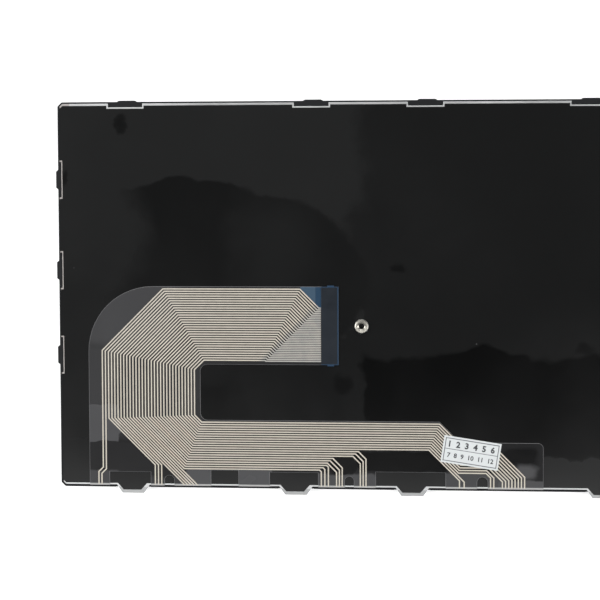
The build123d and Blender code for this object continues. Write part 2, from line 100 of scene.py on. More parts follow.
# What the keys say, from the rear row to the front row and from left to right as typed.
WORD_LEGENDS = (
    ("esc", "F1", "F2", "F3", "F4", "F5", "F6", "F7", "F8", "F9", "F10", "F11", "F12", "ins", "del"),
    ("backspace",), ("tab",), ("caps lock", "enter"), ("shift", "shift"),
    ("ctrl", "fn", "menu", "alt", "alt", "ctrl", "<left>", "<up>", "<down>", "<right>"))
SHIFTED = {
    "1": "!", "2": "@", "3": "#", "4": "$", "5": "%", "6": "^", "7": "&", "8": "*", "9": "(", "0": ")"}
PUNCTUATION = {
    "backquote": ("`", "~"), "minus": ("-", "_"), "equals": ("=", "+"), "bracket_left": ("[", "{"),
    "bracket_right": ("]", "}"), "backslash": ("\\", "|"), "semicolon": (";", ":"),
    "apostrophe": ("'", '"'), "comma": (",", "<"), "period": (".", ">"), "slash": ("/", "?")}
ARROWS = {"<left>": math.pi / 2, "<up>": 0.0, "<down>": math.pi, "<right>": -math.pi / 2}


# Settings that a user would change, after what their lengths and their colours have in common
LENGTH = {"precision": 6, "subtype": "DISTANCE", "unit": "LENGTH"}
COLOUR = {"size": 3, "min": 0.0, "max": 1.0, "subtype": "COLOR"}


class FilmSettings(bpy.types.PropertyGroup):
    """Black film on the back."""
    wave_depth: bpy.props.FloatProperty(
        name="Wave Depth", description="Depth of the slow waves in the film",
        default=0.05 * MM, min=0.0, max=0.1 * MM, **LENGTH)
    cell: bpy.props.FloatProperty(
        name="Cell", description="Spacing of the points that carry the waves",
        default=3.0 * MM, min=1.0 * MM, **LENGTH)
    colour: bpy.props.FloatVectorProperty(
        name="Colour", description="Colour of the film", default=(0.0060, 0.0061, 0.0061), **COLOUR)


class CircuitSettings(bpy.types.PropertyGroup):
    """Tail of the membrane and what is printed and glued on it."""
    film_colour: bpy.props.FloatVectorProperty(
        name="Film Colour", description="Clear polyester over the black back",
        default=(0.0098, 0.0098, 0.0102), **COLOUR)
    silver_colour: bpy.props.FloatVectorProperty(
        name="Silver Colour", description="Printed silver ink", default=(0.47, 0.432, 0.368), **COLOUR)
    strip_colour: bpy.props.FloatVectorProperty(
        name="Strip Colour", description="Stiff strip at the connector end",
        default=(0.0080, 0.0110, 0.0155), **COLOUR)
    paper_colour: bpy.props.FloatVectorProperty(
        name="Paper Colour", description="Paper sticker", default=(0.545, 0.565, 0.57), **COLOUR)


class MetalSettings(bpy.types.PropertyGroup):
    """Plate and threaded boss."""
    plate_colour: bpy.props.FloatVectorProperty(
        name="Plate Colour", description="Bare rolled aluminium", default=(0.60, 0.605, 0.605), **COLOUR)
    boss_colour: bpy.props.FloatVectorProperty(
        name="Boss Colour", description="Plated steel of the boss", default=(0.47, 0.45, 0.40), **COLOUR)
    thread_pitch: bpy.props.FloatProperty(
        name="Thread Pitch", description="Pitch of the thread in the boss",
        default=0.4 * MM, min=0.2 * MM, **LENGTH)


class KeySettings(bpy.types.PropertyGroup):
    """Keycaps, their legends and the frame round them."""
    corner_radius: bpy.props.FloatProperty(
        name="Corner Radius", description="Radius of a keycap's corners",
        default=1.3 * MM, min=0.2 * MM, **LENGTH)
    edge_radius: bpy.props.FloatProperty(
        name="Edge Radius", description="Rounding of a keycap's top edge",
        default=0.3 * MM, min=0.05 * MM, **LENGTH)
    dish_depth: bpy.props.FloatProperty(
        name="Dish Depth", description="How far a keycap's face is sunk",
        default=0.07 * MM, min=0.0, **LENGTH)
    letter_height: bpy.props.FloatProperty(
        name="Letter Height", description="Size of a letter on a key",
        default=4.6 * MM, min=1.0 * MM, **LENGTH)
    word_height: bpy.props.FloatProperty(
        name="Word Height", description="Size of the lettering on word keys",
        default=2.7 * MM, min=0.5 * MM, **LENGTH)
    cap_colour: bpy.props.FloatVectorProperty(
        name="Cap Colour", description="Moulded keycap plastic", default=(0.016, 0.016, 0.018), **COLOUR)
    frame_colour: bpy.props.FloatVectorProperty(
        name="Frame Colour", description="Moulded frame plastic",
        default=(0.005, 0.0055, 0.0065), **COLOUR)


class StageSettings(bpy.types.PropertyGroup):
    """Floor and camera."""
    lens: bpy.props.FloatProperty(
        name="Lens", description="Focal length of the camera", default=120.0, min=20.0, unit="CAMERA")
    camera_place: bpy.props.FloatVectorProperty(
        name="Camera Place", description="Where the camera stands", default=(-0.02327, 0.037, 0.56154),
        size=3, precision=5, subtype="TRANSLATION", unit="LENGTH")
    camera_turn: bpy.props.FloatVectorProperty(
        name="Camera Turn", description="Tilt and turn of the camera", default=(-0.0671, 0.0937, -0.0033),
        size=3, precision=4, subtype="EULER", unit="ROTATION")
    floor_colour: bpy.props.FloatVectorProperty(
        name="Floor Colour", description="Pale floor", default=(0.86, 0.86, 0.86), **COLOUR)


class KeyboardSettings(bpy.types.PropertyGroup):
    """All settings of the keyboard's looks."""
    film: bpy.props.PointerProperty(type=FilmSettings)
    circuit: bpy.props.PointerProperty(type=CircuitSettings)
    metal: bpy.props.PointerProperty(type=MetalSettings)
    keys: bpy.props.PointerProperty(type=KeySettings)
    stage: bpy.props.PointerProperty(type=StageSettings)


# Materials

def scaled(colour, factor):
    """A colour made lighter or darker."""
    return tuple(channel * factor for channel in colour)


class Finish:
    """A material in the making, with short ways to add and join its nodes."""

    def __init__(self, name):
        self.material = bpy.data.materials.new(name)
        self.material.use_nodes = True
        self.tree = self.material.node_tree
        self.tree.nodes.clear()
        self.shader = self.add("ShaderNodeBsdfPrincipled")
        self.add("ShaderNodeOutputMaterial", {"Surface": self.shader.outputs["BSDF"]})
        self.place = self.add("ShaderNodeTexCoord").outputs["Object"]

    def add(self, kind, inputs=None, **settings):
        """New node with its settings, then with its inputs joined or set."""
        node = self.tree.nodes.new(kind)
        for name, value in settings.items():
            setattr(node, name, value)
        for name, value in (inputs or {}).items():
            self.feed(node.inputs[name], value)
        return node

    def feed(self, socket, value):
        """Joins a socket to another node's output, or sets it to a value."""
        if isinstance(value, bpy.types.NodeSocket):
            self.tree.links.new(value, socket)
        elif socket.type == "RGBA":
            socket.default_value = (*value, 1.0)
        else:
            socket.default_value = value

    def surface(self, **inputs):
        """Sets the shader's own sockets, named with underscores for spaces."""
        for name, value in inputs.items():
            self.feed(self.shader.inputs[name.replace("_", " ")], value)

    def math(self, operation, first, second=0.0, clamp=False):
        """One step of arithmetic."""
        inputs = {0: first, 1: second}
        return self.add("ShaderNodeMath", inputs, operation=operation, use_clamp=clamp).outputs[0]

    def axes(self, place=None):
        """The three coordinates of a place."""
        return self.add("ShaderNodeSeparateXYZ", {0: place or self.place}).outputs

    def mapped(self, centre=(0, 0, 0), turn=0.0, stretch=(1, 1, 1)):
        """Object coordinates seen from a centre with a turn about Z, then stretched."""
        inputs = {"Vector": self.place, "Location": centre, "Rotation": (0, 0, turn)}
        local = self.add("ShaderNodeMapping", inputs, vector_type="TEXTURE").outputs[0]
        return self.add("ShaderNodeMapping", {"Vector": local, "Scale": stretch}).outputs[0]

    def noise(self, scale, detail=2.0, roughness=0.5, place=None, output="Fac"):
        """Cloudy noise, with its scale in clouds per metre."""
        inputs = {"Vector": place or self.place, "Scale": scale, "Detail": detail, "Roughness": roughness}
        return self.add("ShaderNodeTexNoise", inputs).outputs[output]

    def remap(self, value, low, high, to_low=0.0, to_high=1.0, smooth=False):
        """A value taken from one range to another and held within it."""
        inputs = {"Value": value, "From Min": low, "From Max": high, "To Min": to_low, "To Max": to_high}
        ramp = "SMOOTHSTEP" if smooth else "LINEAR"
        return self.add("ShaderNodeMapRange", inputs, interpolation_type=ramp).outputs["Result"]

    def past(self, value, limit, soft, smooth=False):
        """One past a limit and zero short of it, with a soft step."""
        return self.remap(value, limit - soft, limit + soft, smooth=smooth)

    def short_of(self, value, limit, soft, smooth=False):
        """One short of a limit and zero past it, with a soft step."""
        return self.remap(value, limit - soft, limit + soft, 1.0, 0.0, smooth)

    def band(self, value, low, high, soft):
        """One between two limits and zero outside them, with soft ends."""
        return self.math(
            "MULTIPLY", self.past(value, low, soft, True), self.short_of(value, high, soft, True))

    def patch(self, left, right, low, high, rounding, soft, place=None):
        """Rectangle on the back with rounded corners, in millimetres along and up. A softness of
        0.5 fades over the whole rounding and a small one gives a crisp outline."""
        x, y, _ = self.axes(place)
        left, low = on_back(left, low)
        right, high = on_back(right, high)
        hill = self.math(
            "MULTIPLY", self.band(x, left, right, rounding * MM), self.band(y, low, high, rounding * MM))
        return self.past(hill, 0.5, soft)

    def spot(self, along, up, wide, high, place, soft):
        """Oval on the back, from millimetres along and up and its half sizes."""
        x, y, _ = self.axes(place)
        left, low = on_back(along, up)
        across = self.math("DIVIDE", self.math("SUBTRACT", x, left), wide * MM)
        upward = self.math("DIVIDE", self.math("SUBTRACT", y, low), high * MM)
        square = self.math("ADD", self.math("POWER", across, 2.0), self.math("POWER", upward, 2.0))
        return self.short_of(square, 1.0, soft, smooth=True)

    def mix(self, share, first, second):
        """A colour between two others."""
        node = self.add("ShaderNodeMix", {"Factor": share}, data_type="RGBA")
        colours = [socket for socket in node.inputs if socket.type == "RGBA"]
        self.feed(colours[0], first)
        self.feed(colours[1], second)
        return next(socket for socket in node.outputs if socket.type == "RGBA")

    def varied(self, value, colour, low, high=1.0):
        """A colour that a value takes from one brightness to another."""
        return self.mix(value, scaled(colour, low), scaled(colour, high))

    def patched(self, shade, patches, strength, colour, place):
        """A shade with lighter and darker patches over it, each with its brightness of a colour."""
        for *outline, brightness in patches:
            mask = self.math("MULTIPLY", self.patch(*outline, place), strength)
            shade = self.mix(mask, shade, scaled(colour, brightness))
        return shade

    def specks(self, scale, size, share):
        """Scattered round specks: one inside a speck and zero elsewhere."""
        cells = self.add("ShaderNodeTexVoronoi", {"Vector": self.place, "Scale": scale}).outputs
        dot = self.remap(cells["Distance"], 0.4 * size, size, 1.0, 0.0, smooth=True)
        pick = self.add("ShaderNodeSeparateColor", {0: cells["Color"]}).outputs[0]
        return self.math("MULTIPLY", dot, self.math("LESS_THAN", pick, share))

    def wobbled(self, scale, reach, detail):
        """Object coordinates pushed about by noise, for uneven outlines."""
        push = self.noise(scale, detail, output="Color")
        centred = self.add("ShaderNodeVectorMath", {0: push, 1: (0.5, 0.5, 0.5)}, operation="SUBTRACT")
        inputs = {0: centred.outputs[0], 1: reach, 2: self.place}
        return self.add("ShaderNodeVectorMath", inputs, operation="MULTIPLY_ADD").outputs[0]

    def bump(self, height, depth, strength=1.0):
        """Relief of a given depth in metres."""
        inputs = {"Height": height, "Distance": depth, "Strength": strength}
        return self.add("ShaderNodeBump", inputs).outputs["Normal"]


# Painted reflections on the back film, as lighter and darker patches: left, right, low and high edge,
# rounding, softness and brightness.
FILM_PAINTED_REFLECTIONS = (
    (-20.0, 88.0, 58.0, 130.0, 6.0, 0.35, 1.85),
    (-20.0, 20.0, 10.0, 70.0, 8.0, 0.5, 1.4),
    (39.0, 52.0, 15.0, 37.0, 4.0, 0.5, 0.35),
    (53.0, 78.0, 15.0, 37.0, 4.0, 0.4, 0.75),
    (87.0, 178.0, 9.5, 38.5, 3.0, 0.2, 0.0),
    (135.0, 178.0, -9.0, 9.5, 2.0, 0.15, 1.8),
    (81.0, 100.0, 58.0, 79.0, 4.0, 0.4, 1.0),
    (80.5, 86.0, 44.0, 60.0, 3.0, 0.1, 1.7),
    (205.0, 262.0, 42.0, 90.0, 12.0, 0.1, 0.45),
    (236.0, 300.0, 70.0, 130.0, 14.0, 0.5, 1.5),
)
# Darker oval of painted reflection where the film lies close on the plate, like a dark lens: its middle and
# half sizes, the room that cuts its end off, and the lighter and darker patches of painted reflection within
# it, given like the patches.
DARK_REFLECTION_OVAL = (36.0, 58.0, 52.0, 29.0)
DARK_REFLECTION_ROOM = (21.0, 95.0, 30.0, 95.0, 6.0, 0.5)
DARK_REFLECTION_BRIGHTNESS = 0.85
DARK_REFLECTION_PATCHES = (
    (25.0, 50.0, 40.0, 100.0, 3.0, 0.4, 0.68),
    (52.0, 71.0, 54.0, 79.0, 8.0, 0.5, 1.25),
)
# Dark spots of painted shade where shallow dents in the film show; the film's shape has no dents: along, up,
# half width and half height.
FILM_DENT_SHADE_SPOTS = (
    (18.0, 103.0, 1.7, 2.6), (2.0, 88.0, 1.0, 2.2), (80.5, 29.5, 2.8, 2.6), (95.8, 62.5, 2.4, 1.2),
    (147.5, 40.0, 2.2, 1.5), (188.0, 84.0, 2.0, 1.4), (231.0, 33.0, 1.6, 2.4))
DENT_SHADE_BRIGHTNESS = 0.1
DUST_COLOUR = (0.12, 0.12, 0.12)


def film_finish(settings):
    """Glossy black film: painted reflections as lighter and darker patches with wavy outlines, dark spots of
    painted shade for shallow dents, and a little dust.
    """
    finish = Finish("wavy_black_film")
    colour = tuple(settings.colour)
    shore = finish.wobbled(75.0, (20.0 * MM, 14.0 * MM, 0.0), 4.0)
    shade = finish.varied(finish.noise(16.0, 3.0), colour, 0.75, 1.25)
    # Painted reflections: lighter and darker patches laid into the film's colour.
    shade = finish.patched(shade, FILM_PAINTED_REFLECTIONS, 0.85, colour, shore)
    # Painted reflection: a darker oval of the film's colour with its own lighter and darker patches.
    lens = finish.spot(*DARK_REFLECTION_OVAL, finish.wobbled(60.0, (9.0 * MM, 12.0 * MM, 0.0), 6.0), 0.05)
    lens = finish.math("MULTIPLY", lens, finish.patch(*DARK_REFLECTION_ROOM, shore))
    inside = finish.patched(scaled(colour, DARK_REFLECTION_BRIGHTNESS), DARK_REFLECTION_PATCHES, 1.0, colour, shore)
    shade = finish.mix(lens, shade, inside)
    ragged = finish.wobbled(320.0, (4.0 * MM, 4.0 * MM, 0.0), 3.0)
    # Painted shade: dark spots laid into the film's colour where shallow dents show.
    dents = 0.0
    for dent in FILM_DENT_SHADE_SPOTS:
        dents = finish.math("MAXIMUM", dents, finish.spot(*dent, ragged, 0.9))
    shade = finish.mix(finish.math("MULTIPLY", dents, 0.65), shade, scaled(colour, DENT_SHADE_BRIGHTNESS))
    dust = finish.specks(150.0, 0.035, 0.08)
    shade = finish.mix(finish.math("MULTIPLY", dust, 0.8), shade, DUST_COLOUR)
    rough = finish.remap(finish.noise(22.0, 4.0, 0.6), 0.4, 0.7, 0.13, 0.2)
    finish.surface(
        Base_Color=shade, Roughness=rough, IOR=1.36,
        Normal=finish.bump(finish.noise(34.0, 1.0, 0.4), 0.1 * MM))
    return finish.material


# Middles of the plate's side notches, up from the front edge, where the bare ends of a notch lie, and how far
# the notches, the side edge painted dark as shade and the lit front edge reach in.
SIDE_NOTCHES = (87.25, 61.65, 37.65)
NOTCH_ENDS = (4.9 * MM, 5.5 * MM)
NOTCH_REACH = 2.95 * MM
SIDE_REACH = 0.25 * MM
FRONT_REACH = 1.45 * MM
PLATE_SOFT = 0.05 * MM
# Painted lit and shaded greys of the one bare metal: notches, front edge, tabs and side edge.
NOTCH_SHADE_COLOUR = (0.37, 0.345, 0.33)
FRONT_LIT_COLOUR = (0.56, 0.565, 0.565)
TAB_SHADE_COLOUR = (0.37, 0.375, 0.375)
SIDE_SHADE_COLOUR = (0.012, 0.014, 0.017)


def plate_finish(settings):
    """Bare rolled aluminium with fine lines along the sheet, painted in lit and shaded greys by place: shade
    in the notches and on the tabs, lit along the front edge, near-black shade on the side edge.
    """
    finish = Finish("bare_plate")
    x, y, _ = finish.axes()
    out = finish.math("ABSOLUTE", x)
    stains = finish.remap(finish.noise(160.0, 3.0), 0.35, 0.7)
    shade = finish.varied(stains, tuple(settings.plate_colour), 0.86)
    # Painted light and shade: the metal darker in the notches and on the tabs, lit at the front edge, near
    # black on the side edge.
    shade = finish.mix(finish.past(out, PLATE_HIGH.x - NOTCH_REACH, PLATE_SOFT), shade, NOTCH_SHADE_COLOUR)
    shade = finish.mix(finish.short_of(y, FRONT_EDGE + FRONT_REACH, PLATE_SOFT), shade, FRONT_LIT_COLOUR)
    shade = finish.mix(finish.short_of(y, FRONT_EDGE, PLATE_SOFT), shade, TAB_SHADE_COLOUR)
    side = finish.past(out, PLATE_HIGH.x - SIDE_REACH, PLATE_SOFT)
    for up in SIDE_NOTCHES:
        away = finish.math("ABSOLUTE", finish.math("SUBTRACT", y, on_back(0.0, up)[1]))
        side = finish.math("SUBTRACT", side, finish.band(away, *NOTCH_ENDS, 0.02 * MM), clamp=True)
    shade = finish.mix(side, shade, SIDE_SHADE_COLOUR)
    lines = finish.noise(900.0, 3.0, 0.6, finish.mapped(stretch=(0.04, 1.0, 1.0)))
    finish.surface(
        Base_Color=shade, Metallic=0.85, Roughness=finish.remap(lines, 0.2, 0.8, 0.28, 0.5),
        Normal=finish.bump(lines, 0.004 * MM, 0.6))
    return finish.material


# Painted reflections on the clear tail as lighter and darker patches, given like those of the film, and the
# painted highlight along its fold.
TAIL_REFLECTION_PATCHES = (
    (12.5, 42.0, 14.0, 60.0, 2.0, 0.3, 2.4),
    (40.0, 78.0, 34.5, 60.0, 2.0, 0.3, 1.9),
    (2.0, 34.0, 40.0, 70.0, 3.0, 0.5, 4.6),
    (2.0, 16.0, 23.0, 40.0, 2.0, 0.3, 3.4),
    (6.0, 17.0, 12.9, 23.5, 1.0, 0.08, 6.2),
    (6.0, 40.0, 3.8, 12.8, 1.0, 0.08, 1.35),
    (6.0, 17.0, -2.0, 4.6, 1.2, 0.15, 4.6),
    (22.0, 35.0, -2.0, 3.2, 1.2, 0.3, 3.2),
    (36.0, 43.1, -2.0, 5.6, 1.2, 0.2, 6.4),
    (50.9, 60.0, -2.0, 5.8, 0.8, 0.2, 6.4),
    (73.0, 90.0, -2.0, 4.4, 1.5, 0.15, 5.4),
    (77.0, 84.0, 4.4, 9.0, 1.5, 0.1, 0.3),
    (84.0, 110.0, 5.2, 11.0, 1.5, 0.12, 0.0),
    (108.0, 128.0, -2.0, 5.0, 1.6, 0.15, 5.0),
    (125.0, 135.0, 7.6, 12.0, 1.6, 0.25, 0.3),
    (129.0, 134.5, 3.4, 7.4, 1.6, 0.3, 6.0),
    (124.0, 140.0, -2.0, 3.0, 1.2, 0.15, 6.0),
)
FOLD_HIGHLIGHT_LINE = (0.0, 140.0, -2.0, 1.05, 0.1, 0.5)
FOLD_HIGHLIGHT_COLOUR = (0.33, 0.33, 0.325)
CUT_EDGE_HIGHLIGHT_COLOUR = (0.22, 0.22, 0.225)
# Blue end of the tail: how far ahead of the stiff strip it starts and turns deeper, and how far below
# the strip's upper end its slanted corner starts.
BLUE_START = 5.9 * MM
BLUE_STEP = 1.6 * MM
BLUE_CORNER = 0.85 * MM
BLUE_SOFT = 0.1 * MM
BLUE_COLOUR = (0.041, 0.070, 0.104)
DEEP_COLOUR = (0.0197, 0.0427, 0.0751)


def tail_finish(settings):
    """Clear polyester over the black film, with painted reflections as cloudy patches, painted highlights
    along the fold and on the cut edge, and a blue end.
    """
    finish = Finish("tail_film")
    colour = tuple(settings.film_colour)
    shore = finish.wobbled(220.0, (3.5 * MM, 2.0 * MM, 0.0), 5.0)
    shade = finish.varied(finish.noise(70.0, 4.0, 0.6), colour, 0.9, 1.25)
    # Painted reflections: lighter and darker patches laid into the tail's colour.
    shade = finish.patched(shade, TAIL_REFLECTION_PATCHES, 0.9, colour, shore)
    # Painted highlight: a pale line along the fold.
    shade = finish.mix(finish.patch(*FOLD_HIGHLIGHT_LINE), shade, FOLD_HIGHLIGHT_COLOUR)
    x, y, _ = finish.axes()
    start, step = STRIP_LOW.x - BLUE_START, STRIP_LOW.x - BLUE_STEP
    corner = start + STRIP_HIGH.y - BLUE_CORNER
    beyond = finish.past(finish.math("ADD", x, y), corner, BLUE_SOFT)
    for ends, blue in (((start, step), BLUE_COLOUR), ((step, STRIP_HIGH.x), DEEP_COLOUR)):
        shade = finish.mix(finish.math("MULTIPLY", finish.band(x, *ends, BLUE_SOFT), beyond), shade, blue)
    # Painted highlight: faces that do not face straight up, the broken cut edges and the sides, are made
    # lighter.
    facing = finish.axes(finish.add("ShaderNodeNewGeometry").outputs["True Normal"])[2]
    side = finish.remap(finish.math("ABSOLUTE", facing), 0.75, 0.95, 1.0, 0.0)
    shade = finish.mix(finish.math("MULTIPLY", side, 0.8), shade, CUT_EDGE_HIGHLIGHT_COLOUR)
    finish.surface(
        Base_Color=shade, Roughness=finish.remap(finish.noise(45.0, 3.0), 0.3, 0.7, 0.16, 0.3), IOR=1.24,
        Normal=finish.bump(finish.noise(60.0, 2.0), 0.12 * MM))
    return finish.material


# Dull fan of lines before the stiff strip: how far ahead of the strip's corner its slanted edge lies,
# how soft that edge is, and how far the fan reaches below the strip.
FAN_START = 18.8 * MM
FAN_SOFT = 0.6 * MM
FAN_BELOW = 0.55 * MM
FAN_COLOUR = (0.29, 0.285, 0.27)


def silver_finish(settings):
    """Matt printed silver ink with a fine grain."""
    finish = Finish("printed_silver")
    colour = tuple(settings.silver_colour)
    grain = finish.noise(6000.0, 2.0, 0.6)
    blotch = finish.noise(420.0, 2.0)
    shade = finish.varied(finish.remap(blotch, 0.3, 0.7), colour, 0.93, 1.03)
    shade = finish.mix(finish.remap(grain, 0.62, 0.8), shade, scaled(colour, 0.85))
    x, y, _ = finish.axes()
    slant = STRIP_LOW.x - STRIP_LOW.y - FAN_START
    fan = finish.math(
        "MULTIPLY", finish.past(finish.math("SUBTRACT", x, y), slant, FAN_SOFT),
        finish.past(y, STRIP_LOW.y - FAN_BELOW, 0.05 * MM))
    dull = finish.math("MULTIPLY", fan, finish.remap(blotch, 0.3, 0.6, 1.0, 0.7))
    finish.surface(
        Base_Color=finish.mix(dull, shade, FAN_COLOUR), Metallic=0.15, Roughness=0.55,
        Normal=finish.bump(grain, 0.003 * MM, 0.3))
    return finish.material


# Bluish rim of the stiff strip: its width at the end and along the sides.
RIM_END = 0.3 * MM
RIM_SIDE = 0.55 * MM
RIM_SOFT = 0.05 * MM
RIM_COLOUR = (0.014, 0.036, 0.070)


def strip_finish(settings):
    """Stiff slate-grey strip with bluish cut edges."""
    finish = Finish("stiff_strip")
    x, y, _ = finish.axes()
    inner = finish.math(
        "MULTIPLY", finish.short_of(x, STRIP_HIGH.x - RIM_END, RIM_SOFT, smooth=True),
        finish.band(y, STRIP_LOW.y + RIM_SIDE, STRIP_HIGH.y - RIM_SIDE, RIM_SOFT))
    cloud = finish.noise(300.0, 3.0)
    shade = finish.varied(cloud, tuple(settings.strip_colour), 0.85, 1.25)
    finish.surface(
        Base_Color=finish.mix(inner, RIM_COLOUR, shade), IOR=1.3,
        Roughness=finish.remap(cloud, 0.3, 0.7, 0.3, 0.42),
        Normal=finish.bump(finish.noise(2600.0, 2.0), 0.004 * MM, 0.4))
    return finish.material


LABEL_SIZE = (16.1 * MM, 7.6 * MM)
LABEL_TURN = math.radians(-8.7)
# Ruling of the sticker: how far its border lies in, half the width of a line, the line across, and ink.
BORDER_INSET = 0.62 * MM
RULE_HALF = 0.12 * MM
RULE_SOFT = 0.03 * MM
RULE_ACROSS = (0.12 * MM, 0.3 * MM)
RULE_COLOUR = (0.045, 0.05, 0.06)
# Rows of numbers on the sticker: what they say, their size, how much bolder they are, and their place
# as a share of its height.
LABEL_ROWS = (
    ("1  2  3  4  5  6", 2.3 * MM, 0.09 * MM, 0.22), ("7  8  9  10  11  12", 1.8 * MM, 0.05 * MM, -0.2))
NUMBER_THICKNESS = 0.004 * MM
NUMBER_FRESH = (0.012, 0.013, 0.016)
NUMBER_FADED = (0.05, 0.052, 0.058)


def paper_finish(settings):
    """White sticker paper with a thin ruled border and one ruled line across."""
    finish = Finish("ruled_paper")
    centre = (LABEL_LOW + LABEL_HIGH) / 2
    axes = finish.axes(finish.mapped(centre=centre, turn=LABEL_TURN))
    lines, within = [], []
    for value, size in zip(axes, LABEL_SIZE):
        half = size / 2 - BORDER_INSET
        first, last = (
            finish.band(value, middle - RULE_HALF, middle + RULE_HALF, RULE_SOFT) for middle in (-half, half))
        lines.append(finish.math("ADD", first, last))
        within.append(finish.band(value, -half - RULE_HALF, half + RULE_HALF, RULE_SOFT))
    lines[1] = finish.math("ADD", lines[1], finish.band(axes[1], *RULE_ACROSS, RULE_SOFT))
    upright, level = (finish.math("MULTIPLY", lines[axis], within[1 - axis]) for axis in range(2))
    ink = finish.math("ADD", upright, level, clamp=True)
    fibres = finish.noise(1500.0, 4.0, 0.65, finish.mapped(stretch=(1.0, 0.5, 1.0)))
    shade = finish.varied(finish.remap(fibres, 0.3, 0.7), tuple(settings.paper_colour), 0.95)
    worn = finish.math("MULTIPLY", ink, finish.remap(fibres, 0.25, 0.5, 0.6, 0.92))
    finish.surface(
        Base_Color=finish.mix(worn, shade, RULE_COLOUR), Roughness=0.75,
        Normal=finish.bump(fibres, 0.01 * MM, 0.5))
    return finish.material


def boss_finish(settings):
    """Turned and plated steel, with fine rings round the bore."""
    finish = Finish("turned_steel")
    place = finish.mapped(centre=(BOSS_LOW + BOSS_HIGH) / 2)
    rings = finish.add(
        "ShaderNodeTexWave", {"Vector": place, "Scale": 2600.0, "Distortion": 1.5},
        wave_type="RINGS", rings_direction="Z")
    stain = finish.remap(finish.noise(900.0, 3.0), 0.4, 0.75)
    finish.surface(
        Base_Color=finish.varied(stain, tuple(settings.boss_colour), 1.0, 0.6), Metallic=0.9,
        Roughness=finish.remap(stain, 0.0, 1.0, 0.26, 0.45),
        Normal=finish.bump(rings.outputs["Fac"], 0.006 * MM, 0.5))
    return finish.material


def moulded_finish(name, colour, rough, grain_depth, shine=0.5):
    """Dark moulded plastic with a fine eroded texture and slightly polished high spots."""
    finish = Finish(name)
    grain = finish.noise(3800.0, 3.0, 0.6)
    wear = finish.noise(55.0, 4.0, 0.6)
    gloss = finish.remap(finish.math("ADD", grain, wear), 0.7, 1.3, rough + 0.08, rough - 0.06)
    finish.surface(
        Base_Color=finish.varied(finish.remap(wear, 0.35, 0.7), colour, 0.85, 1.3), Roughness=gloss,
        Specular_IOR_Level=shine, Normal=finish.bump(grain, grain_depth, 0.5))
    return finish.material


def ink_finish(name, fresh, faded):
    """Printing ink, slightly worn."""
    finish = Finish(name)
    worn = finish.remap(finish.noise(2500.0, 3.0, 0.6), 0.3, 0.75)
    finish.surface(Base_Color=finish.mix(worn, fresh, faded), Roughness=0.5)
    return finish.material


def hidden_finish(name, colour, rough):
    """Pale plastic or silicone of the parts under the keys."""
    finish = Finish(name)
    cloud = finish.noise(700.0, 3.0)
    finish.surface(
        Base_Color=finish.varied(cloud, colour, 0.9), Roughness=rough, IOR=1.45,
        Normal=finish.bump(cloud, 0.01 * MM, 0.4))
    return finish.material


# Meshes: how near points are joined, how flat faces are joined, which edges are broken and how wide,
# and past which angle an edge of a smooth piece stays sharp
JOIN_REACH = 0.0005 * MM
FLAT_ANGLE = math.radians(0.5)
SHARP_ANGLE = math.radians(30)
PLATE_BREAK = 0.05 * MM
TAIL_BREAK = 0.09 * MM
STRIP_BREAK = 0.04 * MM
FRAME_BREAK = 0.12 * MM
LINK_BREAK = 0.06 * MM
FILM_CREASE = math.radians(35)
BOSS_CREASE = math.radians(25)
DOME_CREASE = math.radians(35)
CAP_CREASE = math.radians(40)


def settings_of(context):
    """The settings that the panel shows."""
    return context.scene.keyboard_looks


def linked(name, data):
    """New object in the scene with its data."""
    item = bpy.data.objects.new(name, data)
    bpy.context.scene.collection.objects.link(item)
    return item


def evaluated(carrier):
    """Plain mesh of an object as its modifiers or its lettering make it."""
    ready = carrier.evaluated_get(bpy.context.evaluated_depsgraph_get())
    return bpy.data.meshes.new_from_object(ready)


def plain_mesh(body, name):
    """Mesh of a bmesh, which is freed."""
    mesh = bpy.data.meshes.new(name)
    body.to_mesh(mesh)
    body.free()
    return mesh


def absorb(body, mesh):
    """Adds a mesh to a bmesh and removes the mesh."""
    body.from_mesh(mesh)
    bpy.data.meshes.remove(mesh)


def box_of(verts):
    """Low and high corner of the box round some points."""
    return [Vector([end(vert.co[axis] for vert in verts) for axis in range(3)]) for end in (min, max)]


def dress(node, material):
    """Gives a carried-over CAD node its finish."""
    mesh = NODES[node].data
    mesh.materials.clear()
    mesh.materials.append(material)


def mesh_from(body, name, materials, sharp):
    """Plain mesh of a bmesh: flat for an angle of zero, or smooth but for edges sharper than it."""
    for face in body.faces:
        face.smooth = sharp > 0.0
    for edge in body.edges:
        edge.smooth = edge.calc_face_angle(math.pi) < sharp
    mesh = plain_mesh(body, name)
    for material in materials:
        mesh.materials.append(material)
    return mesh


def add_piece(name, shape, materials, replaced, body=BASE_BODY, sharp=0.0):
    """Makes a piece of a bmesh and puts it on its body, in place of CAD nodes."""
    piece = linked(name, mesh_from(shape, name, materials, sharp))
    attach(piece, body)
    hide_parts(*replaced)
    return piece


def merged_copy(node):
    """A bmesh of a CAD node with its loose triangles joined."""
    body = bmesh.new()
    body.from_mesh(NODES[node].data)
    bmesh.ops.remove_doubles(body, verts=body.verts, dist=JOIN_REACH)
    bmesh.ops.dissolve_limit(body, angle_limit=FLAT_ANGLE, verts=body.verts, edges=body.edges)
    return body


def softened(node, width, chosen=None):
    """A bmesh of a CAD node with its sharp edges, or those of them that are chosen, slightly broken."""
    body = merged_copy(node)
    edges = [
        edge for edge in body.edges
        if edge.calc_face_angle(0.0) > SHARP_ANGLE and (chosen is None or chosen(edge))]
    bmesh.ops.bevel(
        body, geom=edges, offset=width, segments=1 if chosen else 2, profile=0.5, affect="EDGES",
        clamp_overlap=True)
    return body


